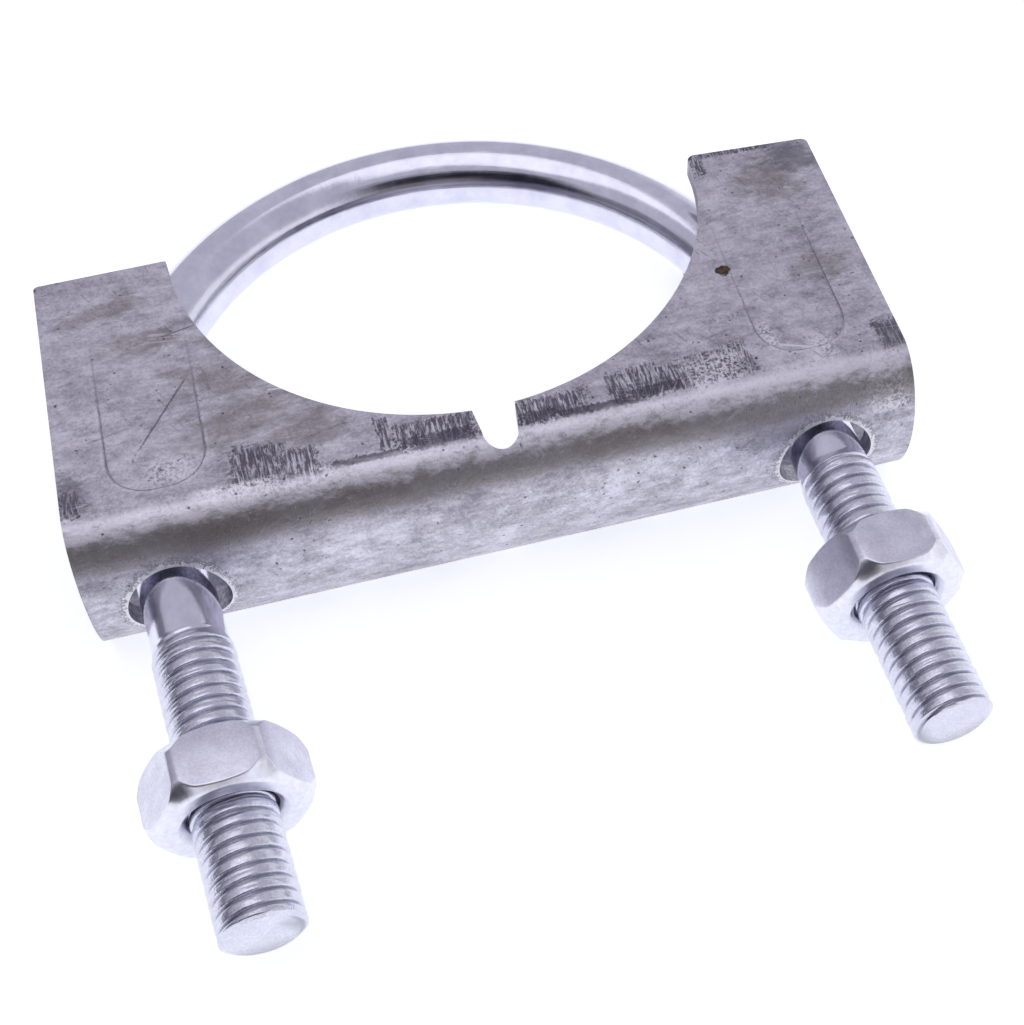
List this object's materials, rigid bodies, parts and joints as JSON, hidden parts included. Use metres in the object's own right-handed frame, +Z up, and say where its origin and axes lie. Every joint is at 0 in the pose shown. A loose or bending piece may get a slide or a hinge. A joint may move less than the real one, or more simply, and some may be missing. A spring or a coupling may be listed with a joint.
{
  "type": "u-bolt exhaust clamp",
  "caption": "Folded sheet-steel saddle with a round pipe cut-out, closed by a threaded U-bolt and hex nuts that draw the two round an exhaust pipe.",
  "frame": {"origin": "middle of the bounding box in X and Y, on the outer face of the saddle's back flange, which is what the clamp lies on", "axes": "+X along the saddle, from the left leg to the right one; +Y from the ends of the legs to the top of the U-bolt's bow; +Z up through both flanges, along the pipe"},
  "size_m": [0.1036, 0.1128, 0.0223],
  "materials": {
    "sheet": "dull mottled zinc plating on rolled sheet steel, scraped and stained",
    "rod": "bright glossy zinc plating on drawn steel rod",
    "nuts": "satin zinc plating on cold-formed steel"
  },
  "bodies": {
    "saddle": {"saddle": "sheet"},
    "u_bolt": {"u_bolt": "rod"},
    "nut_left": {"nut_left": "nuts"},
    "nut_right": {"nut_right": "nuts"}
  },
  "joints": [
    {"name": "u_bolt_slide", "type": "slide", "parent": "saddle", "child": "u_bolt", "axis": [-0.0497, 0.9988, 0], "range_m": [-0.022, 0.008]},
    {"name": "nut_left_travel", "type": "slide", "parent": "u_bolt", "child": "nut_left", "axis": [-0.0706, 0.9975, 0], "range_m": [-0.014, 0.013]},
    {"name": "nut_right_travel", "type": "slide", "parent": "u_bolt", "child": "nut_right", "axis": [-0.0288, 0.9996, 0], "range_m": [-0.017, 0.0068]}
  ]
}
